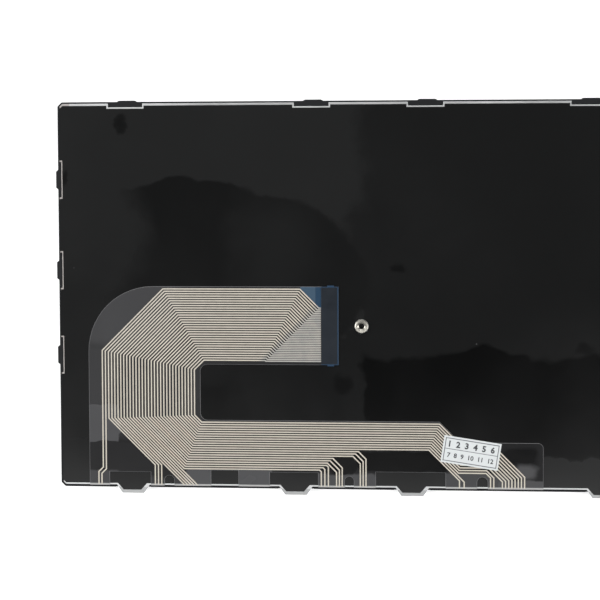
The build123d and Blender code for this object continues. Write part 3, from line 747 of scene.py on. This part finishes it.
# Slow waves of the film: waves per metre and share of the depth, the level at which the noise is cut,
# how far the crests stay under the film's box, and how far the wavy block reaches past it.
WAVES = ((15.0, 0.5), (33.0, 0.35), (62.0, 0.15))
WAVE_LEVEL = 0.37
CREST_ROOM = 0.02
BLOCK_ROOM = 1.0 * MM


def wave_height(place):
    """Height of the film's waves at a place, from zero to one."""
    total = 0.0
    for frequency, share in WAVES:
        total += share * (0.5 + 0.5 * noise.noise(Vector((place.x, place.y, WAVE_LEVEL)) * frequency))
    return min(max(total, 0.0), 1.0)


def wavy_block(settings):
    """Closed block over the film's box, with waves in its upper face."""
    size = FILM_HIGH - FILM_LOW
    middle = (FILM_LOW + FILM_HIGH) / 2
    across, upward = (int(size[axis] / settings.cell) for axis in range(2))
    body = bmesh.new()
    bmesh.ops.create_grid(body, x_segments=across, y_segments=upward, size=0.5)
    for vert in body.verts:
        vert.co.x = middle.x + vert.co.x * (size.x + BLOCK_ROOM)
        vert.co.y = middle.y + vert.co.y * (size.y + BLOCK_ROOM)
        vert.co.z = FILM_HIGH.z - settings.wave_depth * (1.0 + CREST_ROOM - wave_height(vert.co))
    walls = bmesh.ops.extrude_edge_only(body, edges=[edge for edge in body.edges if edge.is_boundary])
    for item in walls["geom"]:
        if isinstance(item, bmesh.types.BMVert):
            item.co.z = FILM_LOW.z - BLOCK_ROOM
    bmesh.ops.holes_fill(body, edges=[edge for edge in body.edges if edge.is_boundary], sides=0)
    bmesh.ops.recalc_face_normals(body, faces=body.faces)
    return body


def common_part(first, second):
    """Bmesh of what two closed bmeshes have in common."""
    carriers = [linked("carrier", plain_mesh(body, "carrier")) for body in (first, second)]
    modifier = carriers[0].modifiers.new("Common", "BOOLEAN")
    modifier.operation = "INTERSECT"
    modifier.solver = "EXACT"
    modifier.object = carriers[1]
    body = bmesh.new()
    absorb(body, evaluated(carriers[0]))
    carriers[0].modifiers.remove(modifier)
    for carrier in carriers:
        bpy.data.objects.remove(carrier)
    return body


def lathe(section, steps, centre):
    """Round bmesh about an upright axis, from a closed section of (radius, height) that may touch it."""
    body = bmesh.new()
    rings = []
    for step in range(steps):
        angle = 2 * math.pi * step / steps
        rings.append([body.verts.new((r * math.cos(angle), r * math.sin(angle), z)) for r, z in section])
    for ring, following in zip(rings, rings[1:] + rings[:1]):
        for index in range(len(section)):
            after = (index + 1) % len(section)
            if section[index][0] == section[after][0] == 0.0:
                continue
            body.faces.new((ring[index], following[index], following[after], ring[after]))
    bmesh.ops.remove_doubles(body, verts=body.verts, dist=JOIN_REACH)
    bmesh.ops.recalc_face_normals(body, faces=body.faces)
    bmesh.ops.translate(body, verts=body.verts, vec=(centre.x, centre.y, 0))
    return body


# Threaded boss: radii of its shank and bore, how far its edge is broken, depth of its thread.
BOSS_SHANK = 1.4 * MM
BOSS_BORE = 0.8 * MM
BOSS_BREAK = 0.18 * MM
BOSS_STEPS = 48
THREAD_DEPTH = 0.16 * MM


def threaded_boss(pitch):
    """Bmesh of the boss: a shank in the plate, a head with a broken edge, and turns in the bore."""
    outer = (BOSS_HIGH.x - BOSS_LOW.x) / 2
    seat, top = PLATE_HIGH.z, BOSS_HIGH.z
    corner = 0.3 * BOSS_BREAK
    section = [
        (BOSS_SHANK, BOSS_LOW.z), (BOSS_SHANK, seat), (outer, seat), (outer, top - BOSS_BREAK),
        (outer - corner, top - corner), (outer - BOSS_BREAK, top), (BOSS_BORE + 2 * BOSS_BREAK, top)]
    height = top - 1.5 * BOSS_BREAK
    while height > BOSS_LOW.z + pitch:
        section += [(BOSS_BORE, height), (BOSS_BORE + THREAD_DEPTH, height - pitch / 2)]
        height -= pitch
    section.append((BOSS_BORE, BOSS_LOW.z))
    return lathe(section, BOSS_STEPS, (BOSS_LOW + BOSS_HIGH) / 2)


# Under the keys: the links and the domes, and a dome's section as shares of its radius and of its height
# above the foot.
LINK_GROUPS = ["scissor_outer_links", "scissor_inner_links"]
LINK_COLOUR = (0.72, 0.72, 0.69)
DOME_RADIUS = 2.8 * MM
DOME_STEPS = 24
DOME_COLOUR = (0.62, 0.61, 0.58)
DOME_SECTION = (
    (0.0, 0.0), (1.0, 0.0), (1.0, 0.08), (0.92, 0.13), (0.86, 0.3), (0.77, 0.6), (0.7, 0.8),
    (0.66, 0.86), (0.65, 0.96), (0.61, 1.0), (0.3, 1.0), (0.26, 0.9), (0.0, 0.9))


def rubber_dome(centre):
    """Bmesh of a round dome with its foot on the membrane and its pitted top under the keycap."""
    height = DOME_HIGH.z - DOME_LOW.z
    section = [(DOME_RADIUS * r, DOME_HIGH.z - height * up) for r, up in DOME_SECTION]
    return lathe(section, DOME_STEPS, centre)


def under_key(body, low, high):
    """Copy of what a bmesh has under one key."""
    part = body.copy()
    outside = [
        vert for vert in part.verts
        if not (low.x < vert.co.x < high.x and low.y < vert.co.y < high.y)]
    bmesh.ops.delete(part, geom=outside, context="VERTS")
    return part


# Keycaps: sizes in millimetres that their tree starts with, and the steps of the rounded edge as rise
# and inset in shares of its radius.
CAP_SIZES = {
    "Width": 16.0, "Depth": 15.5, "Height": 1.7, "Corner Radius": 1.3, "Edge Radius": 0.3, "Draft": 0.25,
    "Dish Depth": 0.07, "Dish Inset": 0.55}
CAP_CORNER_STEPS = 5
CAP_STAGES = ((0.5, 0.134), (0.366, 0.366), (0.134, 0.5))
CAP_JOIN = 0.001 * MM


def keycap_tree(material):
    """Geometry Nodes tree of a keycap that lies face down: a drafted skirt, a rounded edge, a sunk face."""
    tree = bpy.data.node_groups.new("Keycap", "GeometryNodeTree")
    for name, default in CAP_SIZES.items():
        socket = tree.interface.new_socket(name, in_out="INPUT", socket_type="NodeSocketFloat")
        socket.subtype = "DISTANCE"
        socket.default_value = default * MM
    tree.interface.new_socket("Geometry", in_out="OUTPUT", socket_type="NodeSocketGeometry")

    def add(kind, inputs, **settings):
        """Outputs of a new node with its settings, and with its inputs joined or set."""
        node = tree.nodes.new(kind)
        for name, value in settings.items():
            setattr(node, name, value)
        for name, value in inputs.items():
            if isinstance(value, bpy.types.NodeSocket):
                tree.links.new(value, node.inputs[name])
            else:
                node.inputs[name].default_value = value
        return node.outputs

    def times(first, second):
        return add("ShaderNodeMath", {0: first, 1: second}, operation="MULTIPLY")[0]

    given = add("NodeGroupInput", {})
    outline = add(
        "GeometryNodeCurvePrimitiveQuadrilateral", {"Width": given["Width"], "Height": given["Depth"]})[0]
    outline = add(
        "GeometryNodeFilletCurve",
        {"Curve": outline, "Radius": given["Corner Radius"], "Count": CAP_CORNER_STEPS}, mode="POLY")[0]
    base = add("GeometryNodeFillCurve", {"Curve": outline}, mode="NGONS")[0]
    mesh = add("GeometryNodeFlipFaces", {"Mesh": base})[0]
    place = add("GeometryNodeInputPosition", {})[0]
    outward = add("ShaderNodeVectorMath", {0: place}, operation="SIGN")[0]
    radius = given["Edge Radius"]
    skirt = add("ShaderNodeMath", {0: given["Height"], 1: radius}, operation="SUBTRACT")[0]
    stages = [(skirt, given["Draft"])]
    stages += [(times(radius, rise), times(radius, inset)) for rise, inset in CAP_STAGES]
    stages.append((times(given["Dish Depth"], -1.0), given["Dish Inset"]))
    chosen = {}
    for rise, inset in stages:
        raised = add("GeometryNodeExtrudeMesh", {
            "Mesh": mesh, "Offset": (0, 0, -1), "Offset Scale": rise, "Individual": False, **chosen})
        chosen = {"Selection": raised["Top"]}
        inward = times(inset, -1.0)
        pull = add("ShaderNodeCombineXYZ", {"X": inward, "Y": inward})[0]
        offset = add("ShaderNodeVectorMath", {0: outward, 1: pull}, operation="MULTIPLY")[0]
        mesh = add(
            "GeometryNodeSetPosition", {"Geometry": raised["Mesh"], "Offset": offset, **chosen})[0]
    join = tree.nodes.new("GeometryNodeJoinGeometry")
    for part in (base, mesh):
        tree.links.new(part, join.inputs[0])
    merged = add("GeometryNodeMergeByDistance", {"Geometry": join.outputs[0], "Distance": CAP_JOIN})[0]
    lift = add("ShaderNodeCombineXYZ", {"Z": given["Height"]})[0]
    placed = add("GeometryNodeTransform", {"Geometry": merged, "Translation": lift})[0]
    real = add("GeometryNodeRealizeInstances", {0: placed})[0]
    painted = add("GeometryNodeSetMaterial", {"Geometry": real, "Material": material})[0]
    add("NodeGroupOutput", {0: painted})
    return tree


def tree_mesh(tree, values):
    """Plain mesh of a Geometry Nodes tree with the given inputs."""
    carrier = linked("carrier", bpy.data.meshes.new("carrier"))
    modifier = carrier.modifiers.new("Shape", "NODES")
    modifier.node_group = tree
    for item in tree.interface.items_tree:
        if item.in_out == "INPUT":
            modifier[item.identifier] = values[item.name]
    mesh = evaluated(carrier)
    carrier.modifiers.remove(modifier)
    bpy.data.objects.remove(carrier)
    return mesh


def text_mesh(words, height, thickness, bolder=0.0):
    """Plain mesh of lettering, with its strokes made bolder on each side."""
    curve = bpy.data.curves.new("lettering", "FONT")
    curve.body = words
    curve.size = height
    curve.resolution_u = 2
    curve.extrude = thickness
    curve.offset = bolder
    writer = linked("lettering", curve)
    body = bmesh.new()
    absorb(body, evaluated(writer))
    bpy.data.objects.remove(writer)
    bmesh.ops.remove_doubles(body, verts=body.verts, dist=JOIN_REACH)
    return plain_mesh(body, "lettering")


# Legends: thickness and colours of the ink, corners of an arrow, sizes of signs and arrows as shares
# of a letter's, and half the distance of two lines as a share of a key's depth
LEGEND_THICKNESS = 0.012 * MM
LEGEND_FRESH = (0.72, 0.73, 0.72)
LEGEND_FADED = (0.52, 0.53, 0.53)
ARROW_CORNERS = ((0.0, 0.36), (-0.33, -0.2), (0.33, -0.2))
SIGN_SHARE = 0.8
ARROW_SHARE = 0.55
LINE_SPREAD = 0.24


def arrow_mesh(turn, height):
    """Plain mesh of a small triangle that points up before its turn."""
    body = bmesh.new()
    face = body.faces.new([body.verts.new((x * height, y * height, 0)) for x, y in ARROW_CORNERS])
    raised = bmesh.ops.extrude_face_region(body, geom=[face])["geom"]
    moved = [item for item in raised if isinstance(item, bmesh.types.BMVert)]
    bmesh.ops.translate(body, verts=moved, vec=(0, 0, LEGEND_THICKNESS))
    bmesh.ops.recalc_face_normals(body, faces=body.faces)
    bmesh.ops.rotate(body, verts=body.verts, matrix=Matrix.Rotation(turn, 3, "Z"))
    return plain_mesh(body, "arrow")


def add_lettering(body, mesh, place):
    """Adds a lettering mesh to a bmesh with its middle at a place, in the second material."""
    low, high = box_of(mesh.vertices)
    middle = (low + high) / 2
    mesh.transform(place @ Matrix.Translation((-middle.x, -middle.y, 0)))
    before = set(body.faces)
    absorb(body, mesh)
    for face in set(body.faces) - before:
        face.material_index = 1


class CapMaker:
    """Makes keycaps from one tree, with their legends."""

    def __init__(self, settings):
        self.settings = settings
        plastic = moulded_finish("keycap_plastic", tuple(settings.cap_colour), 0.46, 0.012 * MM)
        self.materials = [plastic, ink_finish("legend_ink", LEGEND_FRESH, LEGEND_FADED)]
        self.tree = keycap_tree(plastic)
        self.caps = {}

    def cap(self, size):
        """Mesh of a keycap of a size, made once."""
        known = tuple(round(value, 6) for value in size)
        if known not in self.caps:
            values = {name: default * MM for name, default in CAP_SIZES.items()}
            values.update({
                "Width": size.x, "Depth": size.y, "Height": size.z,
                "Corner Radius": self.settings.corner_radius, "Edge Radius": self.settings.edge_radius,
                "Dish Depth": self.settings.dish_depth})
            mesh = tree_mesh(self.tree, values)
            mesh.materials.clear()  # sets every face back to the first slot
            self.caps[known] = mesh
        return self.caps[known]

    def key(self, body, low, high, lines):
        """Adds one key to a bmesh: a cap over its CAD box, with its legend lines as the typist sees them."""
        size = high - low
        middle = (low + high) / 2
        mesh = self.cap(size).copy()
        mesh.transform(Matrix.Translation((middle.x, middle.y, low.z)))
        absorb(body, mesh)
        for index, (words, height) in enumerate(lines):
            if words in ARROWS:
                mesh = arrow_mesh(ARROWS[words], height)
            else:
                mesh = text_mesh(words, height, LEGEND_THICKNESS)
            y = middle.y + LINE_SPREAD * size.y * (len(lines) - 1 - 2 * index)
            place = Matrix.Translation((middle.x, y, low.z + self.settings.dish_depth))
            add_lettering(body, mesh, place @ Matrix.Rotation(math.pi, 4, "Y"))


def legend_lines(name, settings):
    """What a moving key says: one letter, or the shifted sign over the plain one."""
    letter = settings.letter_height
    sign = letter * SIGN_SHARE
    if name in SHIFTED:
        return [(SHIFTED[name], sign), (name, sign)]
    if name in PUNCTUATION:
        plain, shifted = PUNCTUATION[name]
        return [(shifted, sign), (plain, sign)]
    if len(name) == 1:
        return [(name.upper(), letter)]
    return []


# Keys whose middles differ by less than this share of a row's depth are in one row.
ROW_SHARE = 0.6


def word_boxes():
    """Boxes of the fixed keys in rows, from the rear to the front and from left to right as typed."""
    body = merged_copy("word_keys")
    boxes = []
    waiting = set(body.verts)
    while waiting:
        island = [waiting.pop()]
        for vert in island:
            for edge in vert.link_edges:
                other = edge.other_vert(vert)
                if other in waiting:
                    waiting.remove(other)
                    island.append(other)
        boxes.append(box_of(island))
    body.free()
    reach = ROW_SHARE * (SPACE_HIGH.y - SPACE_LOW.y)
    boxes.sort(key=lambda box: -(box[0].y + box[1].y))
    rows = []
    for box in boxes:
        middle = (box[0].y + box[1].y) / 2
        if rows and rows[-1][0] - middle < reach:
            rows[-1][1].append(box)
        else:
            rows.append((middle, [box]))
    return [sorted(row, key=lambda box: -round(box[0].x + box[1].x, 4)) for _, row in rows]


# Operators

class KEYBOARD_OT_film(bpy.types.Operator):
    """Make the wavy black film on the back."""
    bl_idname = "keyboard.film"
    bl_label = "Back Film"

    def execute(self, context):
        settings = settings_of(context).film
        body = common_part(merged_copy("back_film"), wavy_block(settings))
        add_piece("wavy_film", body, [film_finish(settings)], ["back_film"], sharp=FILM_CREASE)
        return {"FINISHED"}


class KEYBOARD_OT_metal(bpy.types.Operator):
    """Finish the plate and turn the threaded boss."""
    bl_idname = "keyboard.metal"
    bl_label = "Plate and Boss"

    def execute(self, context):
        settings = settings_of(context).metal
        body = softened("base_plate", PLATE_BREAK)
        add_piece("trimmed_plate", body, [plate_finish(settings)], ["base_plate"])
        body = threaded_boss(settings.thread_pitch)
        add_piece(
            "threaded_boss", body, [boss_finish(settings)], ["screw_boss"], sharp=BOSS_CREASE)
        return {"FINISHED"}


class KEYBOARD_OT_circuit(bpy.types.Operator):
    """Finish the tail of the membrane, its printed lines, its stiff strip and the sticker."""
    bl_idname = "keyboard.circuit"
    bl_label = "Printed Tail"

    def execute(self, context):
        settings = settings_of(context).circuit
        body = softened("membrane_circuit", TAIL_BREAK, self.on_top)
        add_piece("folded_tail", body, [tail_finish(settings)], ["membrane_circuit"])
        dress("silver_traces", silver_finish(settings))
        body = softened("tail_stiffener", STRIP_BREAK)
        add_piece("stiff_strip", body, [strip_finish(settings)], ["tail_stiffener"])
        self.sticker(settings)
        return {"FINISHED"}

    @staticmethod
    def on_top(edge):
        """Whether an edge lies on the outer face of the tail."""
        return min(vert.co.z for vert in edge.verts) > TAIL_HIGH - 0.01 * MM

    @staticmethod
    def sticker(settings):
        """Paper sticker with a plain table of numbers."""
        body = merged_copy("paper_label")
        centre = (LABEL_LOW + LABEL_HIGH) / 2
        turn = Matrix.Translation((centre.x, centre.y, LABEL_HIGH.z)) @ Matrix.Rotation(LABEL_TURN, 4, "Z")
        for words, size, bolder, up in LABEL_ROWS:
            row = turn @ Matrix.Translation((0, up * LABEL_SIZE[1], 0))
            add_lettering(body, text_mesh(words, size, NUMBER_THICKNESS, bolder), row)
        materials = [paper_finish(settings), ink_finish("sticker_ink", NUMBER_FRESH, NUMBER_FADED)]
        add_piece("ruled_sticker", body, materials, ["paper_label"])


class KEYBOARD_OT_frame(bpy.types.Operator):
    """Finish the moulded frame."""
    bl_idname = "keyboard.frame"
    bl_label = "Moulded Frame"

    def execute(self, context):
        settings = settings_of(context).keys
        plastic = moulded_finish("frame_plastic", tuple(settings.frame_colour), 0.5, 0.006 * MM, 0.2)
        body = softened("key_frame", FRAME_BREAK)
        add_piece("moulded_frame", body, [plastic], ["key_frame"])
        return {"FINISHED"}


class KEYBOARD_OT_supports(bpy.types.Operator):
    """Make the scissor links and the rubber dome under each moving key."""
    bl_idname = "keyboard.supports"
    bl_label = "Key Supports"

    def execute(self, context):
        plastic = hidden_finish("link_plastic", LINK_COLOUR, 0.4)
        rubber = hidden_finish("dome_rubber", DOME_COLOUR, 0.55)
        links = bmesh.new()
        for group in LINK_GROUPS:
            absorb(links, plain_mesh(softened(group, LINK_BREAK), group))
        for node in MOVING_KEYS:
            name = node[len(KEY_PREFIX):]
            low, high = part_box(node)
            part = under_key(links, low, high)
            self.fold(add_piece("links_" + name, part, [plastic], LINK_GROUPS), name)
            dome = rubber_dome((low + high) / 2)
            self.fold(add_piece(
                "dome_" + name, dome, [rubber], ["rubber_domes"], sharp=DOME_CREASE), name)
        links.free()
        return {"FINISHED"}

    @staticmethod
    def fold(piece, key):
        """Gives a piece a mesh of its own."""
        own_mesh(piece)


class KEYBOARD_OT_keys(bpy.types.Operator):
    """Make every keycap with its legend, on its own body or in the fixed group."""
    bl_idname = "keyboard.keys"
    bl_label = "Keys"

    def execute(self, context):
        settings = settings_of(context).keys
        maker = CapMaker(settings)
        for node in MOVING_KEYS:
            name = node[len(KEY_PREFIX):]
            body = bmesh.new()
            maker.key(body, *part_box(node), legend_lines(name, settings))
            add_piece(
                "keycap_" + name, body, maker.materials, [node], node, CAP_CREASE)
        body = bmesh.new()
        for row, legends in zip(word_boxes(), WORD_LEGENDS, strict=True):
            for (low, high), words in zip(row, legends, strict=True):
                arrow = words in ARROWS
                height = settings.letter_height * ARROW_SHARE if arrow else settings.word_height
                maker.key(body, low, high, [(words, height)])
        add_piece(
            "word_keycaps", body, maker.materials, ["word_keys"], sharp=CAP_CREASE)
        return {"FINISHED"}


# Stage: half the floor's side, its drop under the keys and its glow, the sky, and the lamps with their
# name, place, target, width and depth in metres and power in watts
FLOOR_HALF = 3.0
FLOOR_DROP = 0.02 * MM
FLOOR_GLOW = 0.38
WHITE = (1.0, 1.0, 1.0)
SKY_COLOUR = (0.95, 0.98, 1.0, 1.0)
SKY_STRENGTH = 0.11
SENSOR_WIDTH = 36.0
LAMPS = (
    ("left_box", (-1.0, 0.1, 0.75), (-0.05, 0.0, 0.0), (0.7, 1.2), 14.0),
    ("right_box", (0.9, 0.0, 0.8), (-0.05, 0.0, 0.0), (0.7, 1.2), 12.0),
    ("rear_box", (-0.1, 1.0, 0.7), (-0.05, 0.0, 0.0), (1.4, 0.5), 8.5),
    ("front_panel", (-0.1, -0.41, 1.0), (-0.1, -0.41, 0.0), (1.2, 0.4), 3.0),
)


def area_light(name, place, target, size, power):
    """Soft rectangular lamp that faces a target."""
    data = bpy.data.lights.new(name, "AREA")
    data.shape = "RECTANGLE"
    data.size, data.size_y = size
    data.energy = power
    lamp = linked(name, data)
    lamp.location = place
    lamp.rotation_euler = (Vector(target) - Vector(place)).to_track_quat("-Z", "Y").to_euler()


class KEYBOARD_OT_stage(bpy.types.Operator):
    """Lay the pale floor, set the soft light and the camera."""
    bl_idname = "keyboard.stage"
    bl_label = "Stage"

    def execute(self, context):
        settings = settings_of(context).stage
        scene = context.scene
        finish = Finish("pale_floor")
        finish.surface(
            Base_Color=finish.varied(finish.noise(3.0), tuple(settings.floor_colour), 0.985),
            Roughness=0.9, Emission_Color=WHITE, Emission_Strength=FLOOR_GLOW)
        body = bmesh.new()
        bmesh.ops.create_grid(body, x_segments=2, y_segments=2, size=FLOOR_HALF)
        bmesh.ops.translate(body, verts=body.verts, vec=(0, 0, -FLOOR_DROP))
        mesh = plain_mesh(body, "floor")
        mesh.materials.append(finish.material)
        floor = linked("floor", mesh)

        world = bpy.data.worlds.new("studio")
        world.use_nodes = True
        sky = world.node_tree.nodes["Background"]
        sky.inputs["Color"].default_value = SKY_COLOUR
        sky.inputs["Strength"].default_value = SKY_STRENGTH
        scene.world = world
        for lamp in LAMPS:
            area_light(*lamp)

        data = bpy.data.cameras.new("camera")
        data.sensor_width = SENSOR_WIDTH
        data.lens = settings.lens
        camera = linked("camera", data)
        camera.location = settings.camera_place
        camera.rotation_euler = settings.camera_turn
        scene.camera = camera
        scene.view_settings.view_transform = "Standard"
        return {"FINISHED"}


OPERATORS = (
    KEYBOARD_OT_film, KEYBOARD_OT_metal, KEYBOARD_OT_circuit, KEYBOARD_OT_frame, KEYBOARD_OT_supports,
    KEYBOARD_OT_keys, KEYBOARD_OT_stage)


class KEYBOARD_PT_looks(bpy.types.Panel):
    """Lists the keyboard's pieces and their settings."""
    bl_idname = "KEYBOARD_PT_looks"
    bl_label = "Keyboard"
    bl_space_type = "VIEW_3D"
    bl_region_type = "UI"
    bl_category = "Keyboard"

    def draw(self, context):
        column = self.layout.column()
        for operator in OPERATORS:
            column.operator(operator.bl_idname)
        looks = settings_of(context)
        for group in (looks.film, looks.circuit, looks.metal, looks.keys, looks.stage):
            box = self.layout.box()
            for name in group.__annotations__:
                box.prop(group, name)


CLASSES = (
    FilmSettings, CircuitSettings, MetalSettings, KeySettings, StageSettings, KeyboardSettings,
    *OPERATORS, KEYBOARD_PT_looks)


def register():
    for cls in CLASSES:
        bpy.utils.register_class(cls)
    bpy.types.Scene.keyboard_looks = bpy.props.PointerProperty(type=KeyboardSettings)


def unregister():
    del bpy.types.Scene.keyboard_looks
    for cls in reversed(CLASSES):
        bpy.utils.unregister_class(cls)


def main():
    register()
    bpy.ops.keyboard.film()
    bpy.ops.keyboard.metal()
    bpy.ops.keyboard.circuit()
    bpy.ops.keyboard.frame()
    bpy.ops.keyboard.supports()
    bpy.ops.keyboard.keys()
    bpy.ops.keyboard.stage()


if __name__ == "__main__":
    main()
